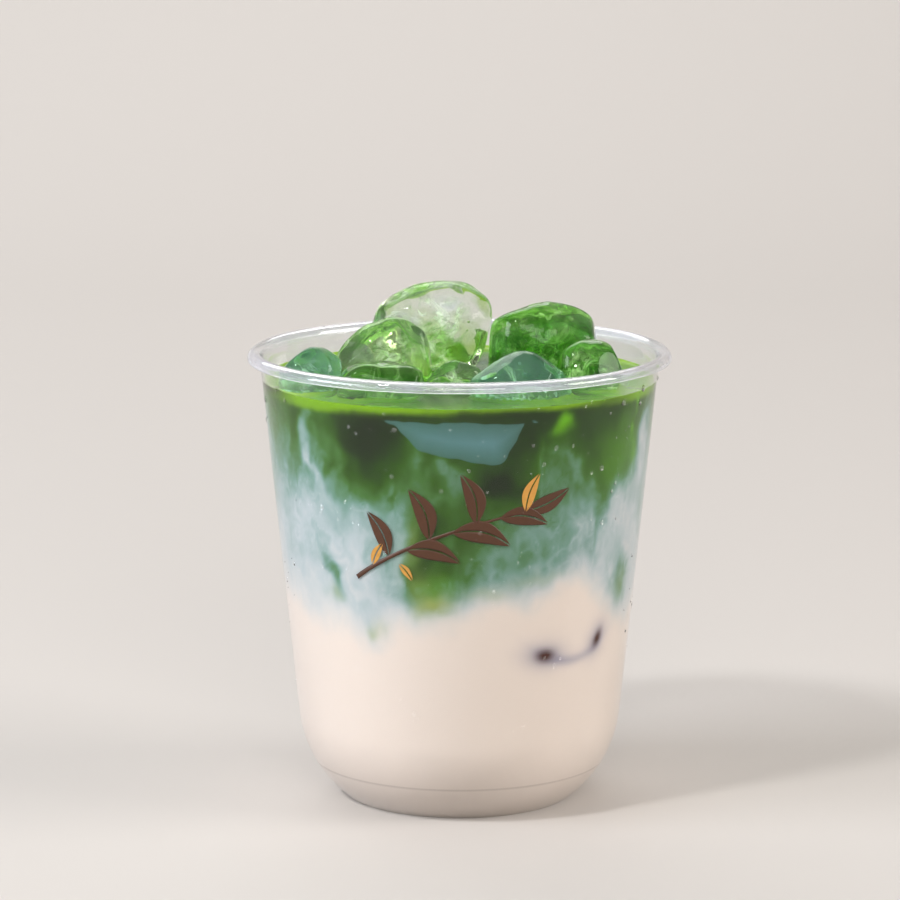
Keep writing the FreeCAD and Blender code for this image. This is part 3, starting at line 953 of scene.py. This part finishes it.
iceLooks = {
    # tint, stain where matcha clings, roughness, refraction, clearness
    "clear": makeIceMaterial("clear", "#f8fbf5", "#b4d883", 0.008, 1.22, 0.97),
    "green": makeIceMaterial("green", "#b6dc92", "#5c9c38", 0.01, 1.31, 0.94),
    "frosty": makeIceMaterial("frosty", "#a9d3c8", "#6aa894", 0.02, 1.31, 0.89),
}

# how much of a lump the clinging matcha covers, from -1 to 1
filmCover = {"clear": 0.05, "green": 0.4, "frosty": 0.2}

bubbleForm = {"count": 16, "least": 0.12, "most": 0.5}


def buildIce():
    for index, (name, spec) in enumerate(iceLumps.items()):
        look = spec[-1]
        skin, quads = lumpSkin(name, iceForm["steps"])
        centre, half, spin, _ = lumpFrame(name)
        points, faces = [skin], [quads]
        # trapped air: small hollow balls whose faces look into the air
        ball, ballFaces = cubeBall(3)
        dice = np.random.default_rng(100 + index)
        count = len(skin)
        for bubble in range(bubbleForm["count"]):
            way = dice.normal(size=3)
            way /= np.linalg.norm(way)
            reach = float(lumpRadius(name, way[None])[0]) * dice.uniform(0.25, 0.8)
            size = bubbleForm["least"] + (bubbleForm["most"] - bubbleForm["least"]) * dice.random() ** 3
            place = spin @ (way * reach) + centre
            if place[2] < drinkForm["level"] + 1.0:
                continue
            points.append(place + ball * size)
            faces.append(ballFaces[:, ::-1] + count)
            count += len(ball)
        points = np.concatenate(points)
        # matcha clings lower down and in patches
        low = (centre[2] + 0.15 * half[2] - points[:, 2]) / half[2]
        film = smoothStep(0.9 * cloud(points / 6.0, 200 + index, 4) + 0.9 * low + filmCover[look], -0.3, 0.7)
        title = "lump" + name.title().replace("_", "")
        piece = addPiece(title, points, np.concatenate(faces), [iceLooks[look]], {"film": film})
        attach(piece, "root")
        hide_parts(name)


frostForm = {"sheets": 3, "reach": 0.8, "rings": 11, "spokes": 40, "crumple": 1.3}


# Crumpled discs across each lump, made as one piece. A disc's edge is a share of the lump's own radius in its
# plane, and each point is moved off the plane by soft noise.
def buildFrost():
    frost = makeFrost()
    f = frostForm
    points, faces, fades, count = [], [], [], 0
    ring = np.linspace(0, 1, f["rings"])[:, None]
    turn = np.arange(f["spokes"]) / f["spokes"] * 2 * math.pi
    for index, name in enumerate(iceLumps):
        centre, half, spin, _ = lumpFrame(name)
        dice = np.random.default_rng(300 + index)
        for sheet in range(f["sheets"]):
            normal = dice.normal(size=3) * [0.8, 1.0, 0.6]
            normal /= np.linalg.norm(normal)
            first = np.cross(normal, [0.0, 0.0, 1.0])
            first /= np.linalg.norm(first)
            second = np.cross(normal, first)
            way = np.cos(turn)[:, None] * first + np.sin(turn)[:, None] * second
            shift = normal * float(lumpRadius(name, normal[None])[0]) * dice.uniform(-0.35, 0.35)
            edge = lumpRadius(name, way) * f["reach"] * (1 - 0.5 * np.linalg.norm(shift) / half.mean())
            disc = shift + (ring * edge)[..., None] * way
            disc = disc + normal * (f["crumple"] * cloud(disc / 5.0 + 7 * sheet, 400 + index, 3))[..., None]
            points.append((disc @ spin.T + centre).reshape(-1, 3))
            faces.append(gridFaces(f["rings"], f["spokes"], True, start=count))
            fades.append(np.broadcast_to(1 - ring**3, disc.shape[:2]).ravel())
            count += len(points[-1])
    values = {"fade": np.concatenate(fades)}
    piece = addPiece("frostInIce", np.concatenate(points), np.concatenate(faces), [frost], values)
    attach(piece, "root")


buildIce()
buildFrost()
print("ice built")


# cup, print and water drops

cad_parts["cup"].material_slots[0].material = makeClearPlastic()

# a tea sprig printed on the front. Leaves: mm along the wall, height, heading in degrees, length, width,
# bend, and ink, 0 brown or 1 ochre
sprigLeaves = [
    (-17.0, 64.5, 118, 11.0, 4.6, -0.10, 0), (-12.5, 66.0, -12, 13.0, 5.0, 0.12, 0),
    (-7.0, 68.6, 112, 12.5, 5.2, -0.12, 0), (-1.5, 70.4, -14, 14.0, 5.4, 0.12, 0),
    (4.0, 72.4, 108, 12.0, 5.0, -0.12, 0), (9.5, 73.6, -10, 12.0, 4.6, 0.10, 0),
    (15.5, 74.8, 70, 9.0, 3.4, 0.08, 1), (15.5, 74.8, 22, 12.0, 4.2, -0.06, 0),
    (-21.5, 62.0, 60, 6.0, 2.4, 0.05, 1), (-14.5, 62.6, -50, 5.0, 2.0, 0.05, 1),
]
sprigStem = [(-26.0, 58.6), (-17.0, 64.0), (-1.0, 70.6), (15.6, 74.8)]

printForm = {
    "radius": 44.5,       # the wall's radius at the print, which turns mm along the wall into an angle
    "midrib": 0.16,       # half the bare line down a leaf
    "leafGrid": (25, 7),  # points along and across half a leaf
    "stemSteps": 60,
    "stem": (0.55, 0.25),  # half width at its foot and at its tip
    "leafOff": 0.05,      # how far the ink's underside stands off the wall
    "stemOff": 0.045,
    "film": 0.03,         # thickness of the ink
}


def wrapOnWall(arc, height, off):
    return onCircle(arc / printForm["radius"], wallRadius(height) + off, height)


# Turns each face that looks at the cup's axis away from it.
def turnFacesOutward(work):
    for face in work.faces:
        middle = face.calc_center_median()
        if face.normal.dot(Vector((middle.x, middle.y, 0))) < 0:
            face.normal_flip()


# Half a leaf beside its bare midrib, as mm along the wall and height. Its edge follows sin(pi u) to the power
# 0.75, and is fuller near the stalk.
def halfLeaf(leaf, halfSide):
    arc, height, heading, length, width, bend, _ = leaf
    rows, columns = printForm["leafGrid"]
    midrib = printForm["midrib"]
    u = np.linspace(0, 1, rows)[:, None]
    v = np.linspace(0, 1, columns)[None, :]
    reach = width / 2 * np.sin(math.pi * u) ** 0.75 * (1.15 - 0.45 * u)
    across = halfSide * (midrib + v * np.maximum(reach - midrib, 0))
    forward = u * length
    curve = bend * length * np.sin(math.pi * u)
    c, s = math.cos(math.radians(heading)), math.sin(math.radians(heading))
    return arc + forward * c - (across + curve) * s, height + forward * s + (across + curve) * c


# The stem: a smooth line through its points, thinner towards the tip.
def stemStrip():
    t = np.linspace(0, 1, printForm["stemSteps"])
    power = np.polyfit([0, 0.3, 0.68, 1], np.array(sprigStem), 3)
    line = np.stack([np.polyval(power[:, 0], t), np.polyval(power[:, 1], t)], -1)
    along = np.gradient(line, axis=0)
    along /= np.linalg.norm(along, axis=1, keepdims=True)
    thick, thin = printForm["stem"]
    side = np.stack([-along[:, 1], along[:, 0]], -1) * (thick - (thick - thin) * t)[:, None]
    strip = np.stack([line - side, line + side], 1)
    return strip[..., 0], strip[..., 1]


def buildPrint():
    f = printForm
    inks = [makeInk("brown screen ink", "#4c2a12"), makeInk("ochre screen ink", "#c8913f")]
    points, faces, kinds, count = [], [], [], 0
    for leaf in sprigLeaves:
        for halfSide in (-1, 1):
            points.append(wrapOnWall(*halfLeaf(leaf, halfSide), f["leafOff"]).reshape(-1, 3))
            faces.append(gridFaces(*f["leafGrid"], False, flip=halfSide > 0, start=count))
            kinds.append(np.full(len(faces[-1]), leaf[-1]))
            count += len(points[-1])
    points.append(wrapOnWall(*stemStrip(), f["stemOff"]).reshape(-1, 3))
    faces.append(gridFaces(f["stemSteps"], 2, False, start=count))
    kinds.append(np.zeros(len(faces[-1]), int))
    piece = addPiece(
        "sprigPrint", np.concatenate(points), np.concatenate(faces), inks,
        faceMaterial=np.concatenate(kinds), weld=False,
    )
    editMesh(piece.data, turnFacesOutward)
    film = piece.modifiers.new("ink film", "SOLIDIFY")
    film.thickness = f["film"] * mm
    film.offset = 1.0
    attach(piece, "root")


dropForm = {
    "tries": 6000,        # places looked at, of which the first count in damp patches are taken
    "count": 420,
    "least": 0.16,        # radius
    "most": 0.75,
    "low": 22.0,
    "high": 99.0,
    "sag": 1.15,          # height of a drop over its width
    "bulge": 0.55,        # how far it stands off the wall over its radius
    "sunk": 0.02,         # how deep its rim lies in the wall
}


# Condensation: low caps on the wall, many tiny and a few larger, in loose groups.
def buildDrops():
    dice = np.random.default_rng(8)
    f = dropForm
    angle = dice.uniform(0, 2 * math.pi, f["tries"])
    height = dice.uniform(f["low"], f["high"], f["tries"])
    chance = softNoise(onCircle(angle, drinkForm["wallMean"], height) / 14.0, 5) + 0.25 * (height - 60) / 40
    picked = np.nonzero(chance > 0.18)[0][:f["count"]]
    angle, height = angle[picked], height[picked]
    size = f["least"] + (f["most"] - f["least"]) * dice.random(len(picked)) ** 4
    rings, spokes = 4, 10
    lean = np.linspace(0, math.pi / 2, rings)
    turn = np.arange(spokes) / spokes * 2 * math.pi
    capArc = np.sin(lean)[:, None] * np.cos(turn)
    capUp = np.sin(lean)[:, None] * np.sin(turn) * f["sag"]
    capOut = np.cos(lean)[:, None] * np.ones(spokes) * f["bulge"]
    radius = wallRadius(height)[:, None, None] - f["sunk"] + capOut * size[:, None, None]
    around = angle[:, None, None] + capArc * size[:, None, None] / drinkForm["wallMean"]
    points = onCircle(around, radius, height[:, None, None] + capUp * size[:, None, None])
    quads = gridFaces(rings, spokes, True, flip=True)
    starts = np.arange(len(picked))[:, None, None] * rings * spokes
    lid = np.arange(spokes)[None, :] + (rings - 1) * spokes
    faces = (quads[None] + starts).reshape(-1, 4).tolist() + (lid + starts[:, 0]).tolist()
    piece = addPiece("waterDrops", points.reshape(-1, 3), faces, [makeWater()])
    editMesh(piece.data, lambda work: bmesh.ops.recalc_face_normals(work, faces=work.faces))
    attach(piece, "root")


buildPrint()
buildDrops()
print("print and drops built")


# stage, lamps and camera

stageForm = {"colour": "#d6d1cc", "width": 10.0, "front": -5.0, "back": 1.9, "bend": 1.1, "rise": 2.6}

lamps = {
    # place, size, watts, colour
    "left": ((-1.75, -0.50, 0.72), (1.0, 0.8), 22.5, "#f3f7ff"),
    "right": ((1.75, -0.36, 0.70), (1.0, 0.8), 19.5, "#fffaf6"),
    "front": ((0.25, -1.9, 0.80), (1.2, 0.8), 12.5, "#fffaf4"),
    "back": ((-0.30, 1.20, 0.95), (1.3, 0.7), 5.5, "#ffffff"),
    "glint": ((-0.75, -0.70, 1.15), (0.16, 0.16), 7.0, "#ffffff"),
}


def buildStage():
    s = stageForm
    bend = np.linspace(0, math.pi / 2, 24)
    y = np.concatenate([[s["front"]], s["back"] - s["bend"] + s["bend"] * np.sin(bend), [s["back"]]])
    z = np.concatenate([[0], s["bend"] * (1 - np.cos(bend)), [s["rise"]]])
    x = np.array([-s["width"] / 2, s["width"] / 2])
    points = np.stack(np.broadcast_arrays(x[None, :], y[:, None], z[:, None]), -1) / mm
    board = makeStageMaterial(s["colour"])
    piece = addPiece("paleStage", points.reshape(-1, 3), gridFaces(len(y), 2, False), [board])


def buildLamps():
    for name, (place, size, watts, colour) in lamps.items():
        data = bpy.data.lights.new(name, "AREA")
        data.shape = "RECTANGLE"
        data.size, data.size_y = size
        data.energy = watts
        data.color = toLinear(colour)[:3]
        lamp = bpy.data.objects.new(name, data)
        lamp.location = place
        lamp.rotation_euler = lookAt(place, (0, 0, 0.07))
        bpy.context.scene.collection.objects.link(lamp)
    world = bpy.data.worlds.new("studio")
    world.use_nodes = True
    sky = world.node_tree.nodes["Background"]
    sky.inputs["Color"].default_value = toLinear("#f4f2f0")
    sky.inputs["Strength"].default_value = 0.36
    bpy.context.scene.world = world


# place and aim in metres, lens and sensor in mm
cameraForm = {
    "place": (0.0, -0.9773, 0.2618),
    "aim": (-0.0022, 0.0065, 0.0800),
    "lens": 171.3,
    "sensor": 36.0,
}


# The turn that points a lamp or camera from one place at another.
def lookAt(place, aim):
    return (Vector(aim) - Vector(place)).to_track_quat("-Z", "Y").to_euler()


def buildCamera():
    f = cameraForm
    data = bpy.data.cameras.new("camera")
    data.lens = f["lens"]
    data.sensor_width = f["sensor"]
    data.clip_end = 20.0
    camera = bpy.data.objects.new("camera", data)
    camera.location = f["place"]
    camera.rotation_euler = lookAt(f["place"], f["aim"])
    bpy.context.scene.collection.objects.link(camera)
    bpy.context.scene.camera = camera


buildStage()
buildLamps()
buildCamera()
bpy.context.scene.view_settings.view_transform = "Standard"
print("stage, lamps and camera set")
